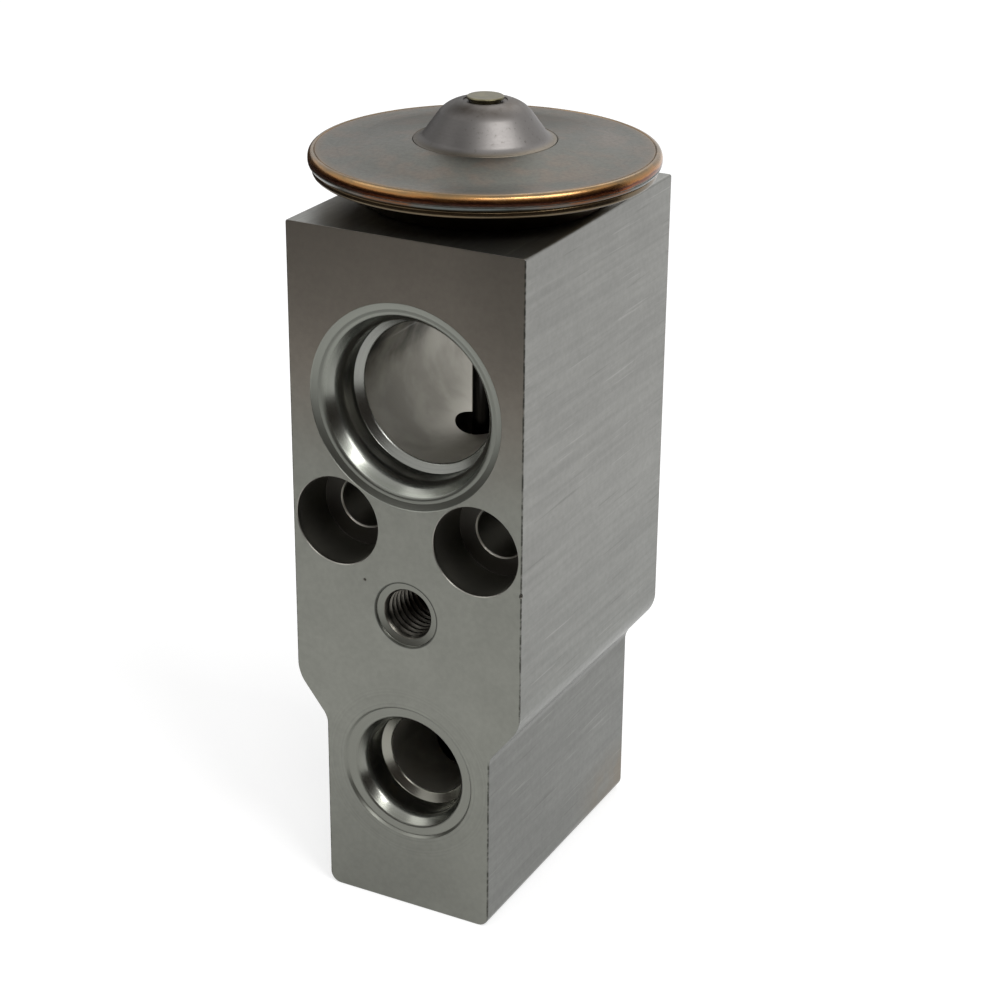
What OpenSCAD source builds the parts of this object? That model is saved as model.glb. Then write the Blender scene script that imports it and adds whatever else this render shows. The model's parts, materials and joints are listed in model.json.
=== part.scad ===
// Block-type thermostatic expansion valve of a vehicle air conditioner.
// Origin: centre of the bottom face, on the axis of the push pin. +Z points to the head.
// The face towards -Y takes the pipe flange, the face towards +Y the evaporator.

/* [Block] */
// Width of the upper part of the block
block_w = 26; // [25.6:0.1:32]
// Depth of the block from the pipe face to the evaporator face
block_d = 32.8; // [30:0.1:40]
// Width of the narrow foot of the block
foot_w = 19.1; // [17:0.1:22]
// Height at which the flank of the block leaves the foot
flank_z = 20; // [17:0.05:24]
// Angle of the flank from the horizontal
flank_angle = 52; // [45:1:70]
// Radius in the hollow between the foot and its flank
flank_round = 2; // [0.5:0.1:3]
// Radius of the shoulder between the flank and the side
shoulder_round = 3.5; // [1:0.1:4]
// Radius along the bottom edges of the foot
foot_round = 1.2; // [0.3:0.1:2]
// Deburred edge along the top of the block
top_round = 0.25; // [0.1:0.05:1]
// Height of the top face above the suction port's axis
top_rise = 17.1; // [17:0.1:24]

/* [Suction ports] */
// Height of the suction ports above the inlet port
suction_rise = 40.45; // [39.5:0.05:46]
// Radius of the bore that takes the suction pipe
suction_r = 8.65; // [8:0.05:9.4]
// Depth of that bore
suction_depth = 5; // [4:0.1:7]
// Radius of the passage between the two suction ports
passage_r = 7.35; // [6:0.05:7.8]
// Outer radius of the sealing recess round the bore
suction_edge_r = 10.6; // [10.3:0.05:11.6]
// Radius of the recess at its floor
suction_floor_r = 9.95; // [9.9:0.05:10.2]

/* [Inlet port] */
// Height of the inlet port's axis above the bottom face
inlet_z = 15.85; // [15.5:0.05:18]
// Radius of the bore that takes the liquid pipe
inlet_r = 5.6; // [4.8:0.05:5.8]
// Depth of that bore
inlet_depth = 4.1; // [3:0.1:5.5]
// Radius of the passage into the spring chamber
inlet_passage_r = 4.1; // [3:0.05:4.4]
// Outer radius of the sealing recess round the bore
inlet_edge_r = 7.5; // [7.2:0.05:8.2]
// Radius of the recess at its floor
inlet_floor_r = 7.05; // [6.9:0.05:7.15]

/* [Outlet port] */
// Height of the outlet port above the inlet port
outlet_rise = 11.6; // [11:0.05:13]
// Radius of the bore that takes the evaporator's pipe
outlet_r = 6.6; // [5.6:0.05:6.8]
// Depth of that bore
outlet_depth = 4.1; // [3:0.1:6]
// Radius of the passage from the orifice
outlet_passage_r = 4.7; // [3.5:0.05:4.9]
// Outer radius of the sealing recess round the bore
outlet_edge_r = 8.5; // [8.2:0.05:8.9]
// Radius of the recess at its floor
outlet_floor_r = 8.05; // [7.9:0.05:8.15]
// Distance that the outlet passage runs past the pin's axis
outlet_over = 3; // [2:0.1:3.6]

/* [Port lead-in] */
// Depth of the sealing recess of every port
recess_depth = 0.4; // [0.2:0.05:0.8]
// Rounding from the recess into a suction bore
suction_lead = 1.25; // [0.4:0.05:1.4]
// Rounding from the recess into a liquid bore
liquid_lead = 0.95; // [0.4:0.05:1.2]
// Rounding from the drilled shoulder into the passage
mouth_round = 0.8; // [0.2:0.05:1]

/* [Fixing holes] */
// Height of the flange bolts above the inlet port
bolt_rise = 26.95; // [26.5:0.05:28]
// Distance between the two flange bolts
bolt_pitch = 15.7; // [15:0.1:15.9]
// Radius of the bolt holes
bolt_r = 2.75; // [2.2:0.05:3.2]
// Radius of the counterbore for the bolt head
bolt_head_r = 4.7; // [4.2:0.05:4.75]
// Depth of the counterbore
bolt_head_depth = 5.5; // [3:0.1:9]
// Deburred edge of the counterbore
bolt_chamfer = 0.22; // [0.05:0.01:0.24]
// Height of the stud hole above the inlet port
stud_rise = 18.2; // [17.5:0.05:19]
// Core radius of the stud hole's thread
stud_r = 2.5; // [2:0.05:2.6]
// Depth of the stud hole
stud_depth = 11.5; // [8:0.1:12.5]
// Radius of the countersink at the stud hole's mouth
stud_mouth_r = 3.55; // [3.1:0.05:4]
// Slope of a drill's point from the flat
drill_angle = 31; // [20:1:40]

/* [Valve seat and spring chamber] */
// Radius of the spring chamber
chamber_r = 5.2; // [5:0.05:5.6]
// Wall between the inlet passage and the chamber's ceiling
ceiling_wall = 0.45; // [0.2:0.05:1]
// Radius of the metering orifice
orifice_r = 1.7; // [1.5:0.05:1.75]
// Radius of the seat's cone at the chamber's ceiling
seat_r = 2.3; // [2.1:0.05:2.8]
// Radius of the ball
ball_r = 2.5; // [2.45:0.05:2.8]
// Travel of the ball from closed to fully open
stroke = 0.6; // [0.3:0.05:0.8]

/* [Push pin and seal] */
// Radius of the push pin
pin_r = 1.2; // [0.9:0.05:1.35]
// Radius of the seal's pocket in the floor of the suction passage
pocket_r = 2.95; // [2.7:0.05:3.2]
// Depth of the pocket
pocket_depth = 4.5; // [3:0.1:6]
// Thickness of the retainer
retainer_t = 0.4; // [0.2:0.05:0.8]
// Radius of the retainer's hole
retainer_hole_r = 1.6; // [1.5:0.05:1.9]
// Number of the retainer's notches
retainer_notches = 6; // [4:1:8]
// Depth of the pin in the stopper disc
pin_socket = 3; // [1.5:0.1:4]

/* [Adjusting screw] */
// Radius of the adjusting screw's thread
screw_r = 6; // [5.9:0.05:6.6]
// Pitch of that thread, and so the screw's travel in one turn each way
screw_pitch = 1; // [0.5:0.05:1.1]
// Depth of the screw below the bottom face
screw_recess = 1.3; // [1.2:0.05:1.5]
// Length of the threaded part of the screw
screw_thread_l = 3; // [2.5:0.05:3.2]
// Length of the screw between its thread and its seal's groove
screw_neck = 2.8; // [2.3:0.05:3.2]
// Thickness of the land on each side of a seal's groove
screw_land = 0.7; // [0.5:0.05:1]
// Section of the screw's seal
screw_seal_d = 1.5; // [1.2:0.05:1.7]
// Distance across the flats of the hexagon socket
hex_af = 6; // [4:0.1:6.5]
// Depth of the hexagon socket
hex_depth = 3; // [2:0.1:4]
// Chamfer of the screw's ends and of its bore's mouth
screw_chamfer = 0.4; // [0.2:0.05:0.8]

/* [Spring and ball holder] */
// Wire diameter of the valve spring
wire_d = 0.95; // [0.7:0.05:1]
// Mean radius of the spring's coils
coil_r = 3.6; // [3.45:0.05:3.7]
// Turns of the spring, its closed ends included
coil_turns = 5; // [4:0.25:5.5]
// Radius of the ball holder's hub and of the screw's spigot
hub_r = 2.85; // [2.75:0.05:2.9]
// Radius of the ball holder's flange
holder_r = 4.4; // [4.2:0.05:4.4]
// Thickness of the flange
holder_t = 0.6; // [0.4:0.05:0.8]
// Length of the hub below the flange, and of the screw's spigot
hub_l = 1.5; // [1:0.1:1.8]
// Thickness of the damper ring's sheet
damper_t = 0.22; // [0.15:0.01:0.25]
// Length of the damper ring's fingers
finger_l = 2.5; // [1.5:0.1:3]
// Number of the fingers
fingers = 3; // [3:1:5]

/* [Head] */
// Outer radius of the head over its welded rim
rim_r = 17.5; // [17.2:0.05:20]
// Width of the rim's flat flanges
flange_w = 3; // [2.5:0.1:4]
// Height of the rim's underside above the block
rim_lift = 2.7; // [2.4:0.05:3.5]
// Sheet thickness of the head's base
base_t = 1.15; // [0.8:0.05:1.3]
// Thickness of the diaphragm
diaphragm_t = 0.12; // [0.08:0.01:0.2]
// Depth of the diaphragm's corrugations
corrugation = 0.25; // [0.1:0.05:0.3]
// Sheet thickness of the head's cover
cover_t = 1.03; // [0.8:0.05:1.2]
// Radius of the rounded weld round the rim
bead_r = 0.9; // [0.85:0.01:1.1]
// Radius of the flat that seats on the block
base_seat_r = 12; // [11.5:0.1:12.4]
// Radius of the screwed neck
neck_r = 8; // [7.6:0.05:8.1]
// Wall of the neck
neck_wall = 1.4; // [1:0.1:1.8]
// Length of the neck
neck_l = 7; // [5:0.1:7.4]
// Section of the head's seal
head_seal_d = 1.4; // [1:0.05:1.6]
// Radius of the stopper disc
stopper_r = 10.6; // [9:0.1:11]
// Thickness of the stopper disc
stopper_t = 1.1; // [0.8:0.05:1.2]
// Radius of the stopper disc's boss
boss_r = 5; // [3.5:0.1:5.8]
// Length of the boss below the disc
boss_l = 4.4; // [4:0.1:6]

/* [Raised crown of the cover] */
// Rise of the cover from its flange to the foot of the crown
cover_rise = 0.85; // [0.4:0.05:1.5]
// Height of the crown above its foot
crown_h = 3.88; // [3.5:0.02:4.4]
// Slope of the crown's side
crown_angle = 54; // [48:1:62]
// Radius of the crown's flat top
crown_top_r = 2.2; // [2:0.05:2.6]
// Rounding of the crown's shoulder
crown_round = 3; // [2.4:0.05:3.2]
// Rounding of the crown's foot
crown_foot = 1.5; // [1.1:0.05:1.8]
// Radius of the filling hole
fill_r = 1.2; // [0.9:0.05:1.3]
// Radius of the plug's head
plug_r = 1.85; // [1.75:0.01:1.95]
// Thickness of the plug's head
plug_t = 0.3; // [0.2:0.01:0.5]
// Radius of the plug's collar
plug_collar_r = 1.5; // [1.4:0.05:1.6]

/* [Clearances] */
// Running clearance of the pin in its guide
pin_fit = 0.05; // [0.02:0.01:0.08]
// Clearance of screwed parts in their threads
thread_fit = 0.05; // [0.02:0.01:0.08]
// Clearance between a seal and its seats
seal_fit = 0.02; // [0.01:0.01:0.03]
// Clearance between parts that only just meet
seat_fit = 0.02; // [0.01:0.01:0.03]
// Clearance of the damper ring in the chamber
damper_fit = 0.1; // [0.05:0.01:0.15]

/* [Hidden] */
$fn = 96;

// A cut starts this far outside the face that it opens
over = 1;
// Depth of the plug's seat in the top of the crown
plug_seat = 0.12;

suction_z = inlet_z + suction_rise;
outlet_z = inlet_z + outlet_rise;
bolt_z = inlet_z + bolt_rise;
stud_z = inlet_z + stud_rise;
block_h = suction_z + top_rise;
shoulder_z = flank_z + (block_w - foot_w) / 2 * tan(flank_angle);

ceiling_z = inlet_z + inlet_passage_r + ceiling_wall;
seat_apex_z = ceiling_z + seat_r;
ball_z = seat_apex_z - ball_r * sqrt(2) - seat_fit;
pocket_z = suction_z - passage_r - pocket_depth;
pin_seal_d = pocket_r - pin_r - 2 * seal_fit;

thread_bore_z = screw_recess + screw_thread_l + screw_pitch + 0.1;
chamber_z = thread_bore_z + screw_r - chamber_r;
groove_z = screw_recess + screw_thread_l + screw_neck;
groove_h = screw_seal_d + 0.1;
groove_r = chamber_r - screw_seal_d;
screw_top_z = groove_z + groove_h + screw_land;
holder_seat_z = ball_z - ball_r + 0.1;
damper_z = holder_seat_z + holder_t;
damper_out_r = chamber_r - damper_fit;

flange_r = rim_r - flange_w;
diaphragm_z = block_h + rim_lift + base_t;
cover_z = diaphragm_z + diaphragm_t;
rim_z = cover_z + cover_t;
bead_z = rim_z + 0.05 - bead_r;
crown_z = rim_z + cover_rise;
neck_hole_r = neck_r + thread_fit;
seal_groove_r = neck_hole_r + head_seal_d + 2 * seal_fit;
seal_groove_depth = head_seal_d + 2 * seal_fit;
stopper_z = diaphragm_z - seat_fit - stopper_t;
boss_z = stopper_z - boss_l;
pin_top_z = boss_z + pin_socket;

// Points of an arc about c from p to q, the short way round
function arc(c, p, q, steps) =
    let (r = norm(p - c),
         a = atan2(p.y - c.y, p.x - c.x),
         b = atan2(q.y - c.y, q.x - c.x),
         turn = ((b - a) % 360 + 540) % 360 - 180)
    [for (i = [0:steps]) c + r * [cos(a + turn * i / steps), sin(a + turn * i / steps)]];

// Points that round the corner at b, between a and c, to the radius r
function corner(a, b, c, r, steps) =
    let (u = (a - b) / norm(a - b),
         v = (c - b) / norm(c - b),
         half = acos(u * v) / 2,
         mid = (u + v) / norm(u + v))
    arc(b + mid * r / sin(half), b + u * r / tan(half), b + v * r / tan(half), steps);

// A closed outline from corners [x, y] or [x, y, radius]
function rounded(points, steps = 8) =
    let (n = len(points))
    [for (i = [0:n - 1])
        let (b = points[i], a = points[(i + n - 1) % n], c = points[(i + 1) % n])
        each (len(b) == 3
            ? corner([a.x, a.y], [b.x, b.y], [c.x, c.y], b.z, steps)
            : [b])];

module turned(points) {
    rotate_extrude() polygon(rounded(points));
}

module ring(mean_r, section_d, z) {
    translate([0, 0, z]) rotate_extrude() translate([mean_r, 0]) circle(d = section_d, $fn = 32);
}

// Places a cut on the face towards -Y or, with back, towards +Y, running inwards
module into_face(x, z, back = false) {
    translate([x, (back ? 1 : -1) * block_d / 2, z]) rotate([back ? 90 : -90, 0, 0]) children();
}

// A recess for the pipe's seal, a rounded lead-in, the bore, a drilled shoulder and the passage
module port_cut(edge_r, floor_r, bore_r, bore_depth, passage_r, reach, lead) {
    least_floor = 0.05;
    lead_fit = min(lead, floor_r - bore_r - least_floor);
    mouth_fit = min(mouth_round, bore_r - passage_r);
    shoulder_depth = bore_depth + (bore_r - passage_r) * tan(drill_angle);
    turned([[0, -over], [edge_r, -over], [edge_r, 0], [floor_r, recess_depth],
        [bore_r, recess_depth, lead_fit], [bore_r, bore_depth],
        [passage_r, shoulder_depth, mouth_fit], [passage_r, reach], [0, reach]]);
}

module bolt_cut() {
    turned([[0, -over], [bolt_head_r + bolt_chamfer, -over], [bolt_head_r + bolt_chamfer, 0],
        [bolt_head_r, bolt_chamfer], [bolt_head_r, bolt_head_depth], [bolt_r, bolt_head_depth],
        [bolt_r, block_d + over], [0, block_d + over]]);
}

module stud_cut() {
    mouth_depth = stud_mouth_r - stud_r;
    turned([[0, -over], [stud_mouth_r, -over], [stud_mouth_r, 0], [stud_r, mouth_depth],
        [stud_r, stud_depth], [0, stud_depth + stud_r * tan(drill_angle)]]);
}

// Bored from below: screw thread, spring chamber, seat, orifice, pin guide and seal pocket
module valve_bore() {
    turned([[0, -over], [screw_r + screw_chamfer, -over], [screw_r + screw_chamfer, 0],
        [screw_r, screw_chamfer], [screw_r, thread_bore_z], [chamber_r, chamber_z],
        [chamber_r, ceiling_z], [seat_r, ceiling_z], [orifice_r, seat_apex_z - orifice_r],
        [orifice_r, outlet_z], [pin_r + pin_fit, outlet_z], [pin_r + pin_fit, pocket_z],
        [pocket_r, pocket_z], [pocket_r, suction_z], [0, suction_z]]);
}

// Bored from above: the neck's thread, its seal's groove and the way down for the suction gas
module head_bore() {
    below_neck = 0.4;
    neck_hole_z = block_h - neck_l - below_neck;
    gas_r = neck_r - neck_wall;
    turned([[0, suction_z], [gas_r, suction_z], [gas_r, neck_hole_z], [neck_hole_r, neck_hole_z],
        [neck_hole_r, block_h - seal_groove_depth], [seal_groove_r, block_h - seal_groove_depth],
        [seal_groove_r, block_h + over], [0, block_h + over]]);
}

module block_outline() {
    foot_x = foot_w / 2;
    side_x = block_w / 2;
    polygon(rounded([[foot_x, 0, foot_round], [foot_x, flank_z, flank_round],
        [side_x, shoulder_z, shoulder_round], [side_x, block_h, top_round],
        [-side_x, block_h, top_round], [-side_x, shoulder_z, shoulder_round],
        [-foot_x, flank_z, flank_round], [-foot_x, 0, foot_round]]));
}

module valve_block() {
    color("darkgray")
    difference() {
        translate([0, block_d / 2, 0]) rotate([90, 0, 0]) linear_extrude(block_d) block_outline();
        for (back = [false, true])
            into_face(0, suction_z, back)
                port_cut(suction_edge_r, suction_floor_r, suction_r, suction_depth,
                    passage_r, block_d / 2 + over, suction_lead);
        into_face(0, inlet_z)
            port_cut(inlet_edge_r, inlet_floor_r, inlet_r, inlet_depth,
                inlet_passage_r, block_d / 2, liquid_lead);
        into_face(0, outlet_z, true)
            port_cut(outlet_edge_r, outlet_floor_r, outlet_r, outlet_depth,
                outlet_passage_r, block_d / 2 + outlet_over, liquid_lead);
        for (side = [-1, 1])
            into_face(side * bolt_pitch / 2, bolt_z) bolt_cut();
        into_face(0, stud_z) stud_cut();
        valve_bore();
        head_bore();
    }
}

// The rim's lower flange ends in a rounded lip, an undercut and the lower half of the weld
module head_base() {
    bend = base_t * tan(atan2(rim_lift, flange_r - base_seat_r) / 2);
    lip_r = 0.3;
    lip_w = 0.1;
    undercut_r = rim_r - 0.5;
    undercut_h = 0.15;
    weld_angle = 51;
    weld_z = bead_z - bead_r * sin(weld_angle);
    weld_c = [rim_r - bead_r, bead_z];
    weld_start = weld_c + bead_r * [cos(weld_angle), -sin(weld_angle)];
    weld_end = weld_c + [sqrt(bead_r * bead_r - pow(bead_z - diaphragm_z, 2)), diaphragm_z - bead_z];
    color("gray")
    rotate_extrude() polygon(concat(
        rounded([[neck_r - neck_wall, block_h - neck_l], [neck_r, block_h - neck_l],
            [neck_r, block_h], [base_seat_r, block_h, 0.5], [flange_r, block_h + rim_lift, 0.5],
            [undercut_r + lip_w, block_h + rim_lift, lip_r], [undercut_r, weld_z - undercut_h],
            [undercut_r - undercut_h, weld_z - undercut_h / 3]]),
        arc(weld_c, weld_start, weld_end, 6),
        rounded([[flange_r - bend, diaphragm_z], [base_seat_r - bend, block_h + base_t],
            [neck_r - neck_wall, block_h + base_t]])));
}

module head_cover() {
    foot_slope = 10;
    weld_angle = 72;
    crease = 0.1;
    seam_w = 0.14;
    seam_h = 0.08;
    tip = [crown_top_r, crown_z + crown_h - crown_round];
    up = [sin(crown_angle), cos(crown_angle)];
    foot_end = [sin(foot_slope), cos(foot_slope)];
    foot_start_z = crown_z + crown_foot * (foot_end.y - up.y);
    flank_top = tip + crown_round * up;
    foot_start = [flank_top.x + (flank_top.y - foot_start_z) / tan(crown_angle), foot_start_z];
    foot = foot_start + crown_foot * up;
    inner_round = crown_round - cover_t;
    inner_foot = crown_foot + cover_t;
    weld_c = [rim_r - bead_r, bead_z];
    weld_start = weld_c + bead_r * [cos(weld_angle), sin(weld_angle)];
    weld_end = weld_c + [sqrt(bead_r * bead_r - pow(bead_z - cover_z, 2)), cover_z - bead_z];
    roof_z = crown_z + crown_h;
    color("silver")
    rotate_extrude() polygon(concat(
        [[fill_r, roof_z - plug_seat], [crown_top_r - 0.05, roof_z - plug_seat],
            [crown_top_r, roof_z]],
        arc(tip, tip + [0, crown_round], flank_top, 12),
        arc(foot, foot_start, foot - crown_foot * foot_end, 8),
        [foot - crown_foot * foot_end + crease * [0.5, -1],
            foot - crown_foot * foot_end + crease * [1.4, 0]],
        rounded([[flange_r, rim_z], [weld_start.x - seam_w, rim_z],
            [weld_start.x - seam_w / 2, rim_z - seam_h]]),
        arc(weld_c, weld_start, weld_end, 10),
        [[flange_r, cover_z]],
        arc(foot, foot - inner_foot * foot_end, foot - inner_foot * up, 8),
        arc(tip, tip + inner_round * up, tip + [0, inner_round], 12),
        [[fill_r, roof_z - cover_t]]));
}

module seal_plug() {
    roof_z = crown_z + crown_h;
    color("darkkhaki")
    turned([[0, roof_z - cover_t], [fill_r - thread_fit, roof_z - cover_t],
        [fill_r - thread_fit, roof_z - plug_seat], [plug_collar_r, roof_z - plug_seat],
        [plug_collar_r, roof_z + 0.1], [plug_r, roof_z + 0.1, 0.1],
        [plug_r, roof_z + 0.1 + plug_t, 0.14], [0, roof_z + 0.1 + plug_t]]);
}

// A thin sheet whose waves lie between the stopper disc and the rim's flanges
module diaphragm() {
    steps = 24;
    wave_in = stopper_r + 0.3;
    wave_out = flange_r - 0.8;
    function wave(i) = -corrugation * (1 - cos(720 * i / steps)) / 2;
    function wave_points(z) = [for (i = [0:steps])
        [wave_in + (wave_out - wave_in) * i / steps, z + wave(i)]];
    lower = wave_points(diaphragm_z);
    upper = wave_points(diaphragm_z + diaphragm_t);
    edge_r = rim_r - 0.1;
    color("lightgray")
    rotate_extrude() polygon(concat(
        [[0, diaphragm_z]], lower, [[edge_r, diaphragm_z], [edge_r, diaphragm_z + diaphragm_t]],
        [for (i = [steps:-1:0]) upper[i]], [[0, diaphragm_z + diaphragm_t]]));
}

module head_seal() {
    color("dimgray")
    ring((neck_hole_r + seal_groove_r) / 2, head_seal_d, block_h - seal_groove_depth / 2);
}

// Disc under the diaphragm, with a boss that takes the pin's upper end
module stopper_disc() {
    color("lightsteelblue")
    difference() {
        turned([[0, boss_z], [boss_r, boss_z, 0.4], [boss_r, stopper_z, 0.6],
            [stopper_r, stopper_z, 0.3], [stopper_r, stopper_z + stopper_t, 0.3],
            [0, stopper_z + stopper_t]]);
        translate([0, 0, boss_z - over]) cylinder(r = pin_r + seat_fit, h = pin_socket + over);
    }
}

module push_pin() {
    bottom_z = ball_z + ball_r;
    tip = 0.2;
    color("gray")
    turned([[0, bottom_z], [pin_r - tip, bottom_z], [pin_r, bottom_z + tip],
        [pin_r, pin_top_z - tip], [pin_r - tip, pin_top_z], [0, pin_top_z]]);
}

module pin_seal() {
    color("black")
    ring((pin_r + pocket_r) / 2, pin_seal_d, pocket_z + seal_fit + pin_seal_d / 2);
}

// Push-in washer above the pin's seal, notched so that its teeth grip the pocket
module seal_retainer() {
    z = pocket_z + pin_seal_d + 3 * seal_fit;
    dish = 0.25;
    notch_w = 0.5;
    edge_r = pocket_r - seal_fit;
    color("darkgray")
    difference() {
        turned([[retainer_hole_r, z], [edge_r, z + dish], [edge_r, z + dish + retainer_t],
            [retainer_hole_r, z + retainer_t]]);
        for (i = [0:retainer_notches - 1])
            rotate(i * 360 / retainer_notches)
                translate([edge_r - 0.6, -notch_w / 2, z - over])
                    cube([1, notch_w, retainer_t + dish + 2 * over]);
    }
}

module valve_ball() {
    color("whitesmoke") translate([0, 0, ball_z]) sphere(r = ball_r);
}

// Cup with a cone under the ball, a flange on the spring and a hub inside it
module ball_holder() {
    cone_z = ball_z - ball_r * sqrt(2);
    rim_in = hub_r - 0.6;
    color("goldenrod")
    turned([[0, cone_z], [rim_in, cone_z + rim_in], [hub_r, cone_z + rim_in],
        [hub_r, damper_z], [holder_r, damper_z], [holder_r, holder_seat_z],
        [hub_r, holder_seat_z], [hub_r, holder_seat_z - hub_l, 0.4],
        [0, holder_seat_z - hub_l]]);
}

// Sheet ring on the holder's flange, whose bent fingers rub the chamber and damp the ball
module damper_ring() {
    in_r = hub_r + thread_fit;
    bend_r = holder_r + 0.1;
    t = damper_t;
    color("silver")
    translate([0, 0, damper_z]) {
        rotate_extrude() polygon([[in_r, 0], [holder_r - 0.05, 0], [holder_r - 0.05, t], [in_r, t]]);
        for (i = [0:fingers - 1])
            rotate(i * 360 / fingers - 18)
                rotate_extrude(angle = 36)
                    polygon([[holder_r - 0.3, 0], [bend_r, 0], [damper_out_r - t, -0.3],
                        [damper_out_r - t, -finger_l], [damper_out_r, -finger_l],
                        [damper_out_r, 0], [bend_r + t, t], [holder_r - 0.3, t]]);
    }
}

// One wire with closed end coils, swept round the helix as rings of points
module valve_spring() {
    low = screw_top_z + seat_fit + wire_d / 2;
    high = holder_seat_z - seat_fit - wire_d / 2;
    closed = 0.8;
    per_turn = 24;
    sides = 10;
    rings = ceil(coil_turns * per_turn);
    end_rise = closed * wire_d * 1.03;
    active = coil_turns - 2 * closed;
    function height(t) = t < closed ? low + t * wire_d * 1.03
        : t > coil_turns - closed ? high - (coil_turns - t) * wire_d * 1.03
        : low + end_rise + (t - closed) / active * (high - low - 2 * end_rise);
    points = [for (i = [0:rings])
        let (t = coil_turns * i / rings, a = 360 * t)
        for (k = [0:sides - 1])
            let (f = 360 * k / sides, r = coil_r + wire_d / 2 * cos(f))
            [r * cos(a), r * sin(a), height(t) + wire_d / 2 * sin(f)]];
    skin = [for (i = [0:rings - 1]) for (k = [0:sides - 1])
        let (a = i * sides + k, b = i * sides + (k + 1) % sides, c = a + sides, d = b + sides)
        each [[a, b, d], [a, d, c]]];
    first = [for (k = [sides - 1:-1:0]) k];
    last = [for (k = [0:sides - 1]) rings * sides + k];
    color("slategray") polyhedron(points, concat([first], skin, [last]));
}

// Hollow hexagon screw with a groove for its seal and a spigot inside the spring
module adjusting_screw() {
    body_r = screw_r - thread_fit;
    land_r = chamber_r - 0.1;
    thread_top_z = screw_recess + screw_thread_l;
    color("goldenrod")
    difference() {
        turned([[0, screw_recess], [body_r - screw_chamfer, screw_recess],
            [body_r, screw_recess + screw_chamfer], [body_r, thread_top_z - screw_chamfer],
            [body_r - screw_chamfer, thread_top_z], [land_r, thread_top_z],
            [land_r, groove_z], [groove_r, groove_z], [groove_r, groove_z + groove_h],
            [land_r, groove_z + groove_h], [land_r, screw_top_z], [hub_r, screw_top_z],
            [hub_r, screw_top_z + hub_l, 0.4], [0, screw_top_z + hub_l]]);
        translate([0, 0, screw_recess - over])
            cylinder(d = hex_af / cos(30), h = hex_depth + over, $fn = 6);
    }
}

module screw_seal() {
    color("black")
    ring((groove_r + chamber_r) / 2, screw_seal_d - 2 * seal_fit, groove_z + groove_h / 2);
}

valve_block();
head_base();
head_cover();
seal_plug();
diaphragm();
head_seal();
stopper_disc();
push_pin();
pin_seal();
seal_retainer();
valve_ball();
ball_holder();
damper_ring();
valve_spring();
adjusting_screw();
screw_seal();
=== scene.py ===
import json
import math

import bmesh
import bpy
from mathutils import Matrix, Vector


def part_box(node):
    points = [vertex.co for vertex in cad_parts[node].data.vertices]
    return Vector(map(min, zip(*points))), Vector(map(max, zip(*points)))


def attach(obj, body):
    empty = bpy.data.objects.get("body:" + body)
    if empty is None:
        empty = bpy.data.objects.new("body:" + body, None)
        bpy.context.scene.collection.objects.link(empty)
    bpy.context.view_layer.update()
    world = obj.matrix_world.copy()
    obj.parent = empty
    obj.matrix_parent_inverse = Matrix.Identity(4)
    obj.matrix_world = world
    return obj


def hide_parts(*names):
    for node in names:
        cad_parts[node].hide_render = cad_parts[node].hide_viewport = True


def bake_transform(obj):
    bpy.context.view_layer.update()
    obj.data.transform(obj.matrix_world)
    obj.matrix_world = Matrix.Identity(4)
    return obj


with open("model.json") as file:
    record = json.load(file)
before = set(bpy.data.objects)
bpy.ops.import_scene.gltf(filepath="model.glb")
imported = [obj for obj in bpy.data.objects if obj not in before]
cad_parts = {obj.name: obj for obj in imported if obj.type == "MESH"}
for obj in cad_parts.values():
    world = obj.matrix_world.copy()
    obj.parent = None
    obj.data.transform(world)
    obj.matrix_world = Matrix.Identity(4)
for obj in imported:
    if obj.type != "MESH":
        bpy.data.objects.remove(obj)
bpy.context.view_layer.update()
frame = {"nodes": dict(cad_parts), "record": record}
mm = 0.001
scene = bpy.context.scene
print("frame loaded")


# Small helpers for node trees and colours

def tone(red, green, blue):
    def linear(value):
        share = value / 255
        return share / 12.92 if share <= 0.04045 else ((share + 0.055) / 1.055) ** 2.4
    return (linear(red), linear(green), linear(blue), 1)


def fill(tree, made, inputs):
    for key, value in inputs.items():
        if isinstance(value, bpy.types.NodeSocket):
            tree.links.new(value, made.inputs[key])
        else:
            made.inputs[key].default_value = value
    return made


def addNode(tree, kind, inputs=None, **settings):
    made = tree.nodes.new("ShaderNode" + kind)
    for key, value in settings.items():
        setattr(made, key, value)
    return fill(tree, made, inputs or {})


def calc(tree, operation, first, second=0.0):
    return addNode(tree, "Math", {0: first, 1: second}, operation=operation).outputs[0]


def fade(tree, value, low, high, start=0.0, end=1.0):
    return addNode(tree, "MapRange", {"Value": value, "From Min": low, "From Max": high, "To Min": start,
                                      "To Max": end}, interpolation_type="SMOOTHSTEP").outputs["Result"]


def blendColour(tree, factor, first, second):
    made = addNode(tree, "Mix", data_type="RGBA")
    return fill(tree, made, {0: factor, 6: first, 7: second}).outputs[2]


def colourRamp(tree, value, stops):
    made = addNode(tree, "ValToRGB", {"Fac": value})
    points = made.color_ramp.elements
    for index, (place, colour) in enumerate(stops):
        point = points[index] if index < 2 else points.new(place)
        point.position = place
        point.color = tone(*colour)
    return made.outputs["Color"]


# Object coordinates in millimetres, moved so that the given point is the middle
def partPoint(tree, centre=(0, 0, 0), stretch=(1, 1, 1)):
    place = addNode(tree, "TexCoord").outputs["Object"]
    scale = tuple(value / mm for value in stretch)
    shift = tuple(-value * by for value, by in zip(centre, stretch))
    return addNode(tree, "Mapping", {"Vector": place, "Location": shift, "Scale": scale}).outputs[0]


def grain(tree, point, scale, detail, roughness=0.6, distortion=0.0):
    made = addNode(tree, "TexNoise", {"Vector": point, "Scale": scale, "Detail": detail})
    return fill(tree, made, {"Roughness": roughness, "Distortion": distortion}).outputs[0]


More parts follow.
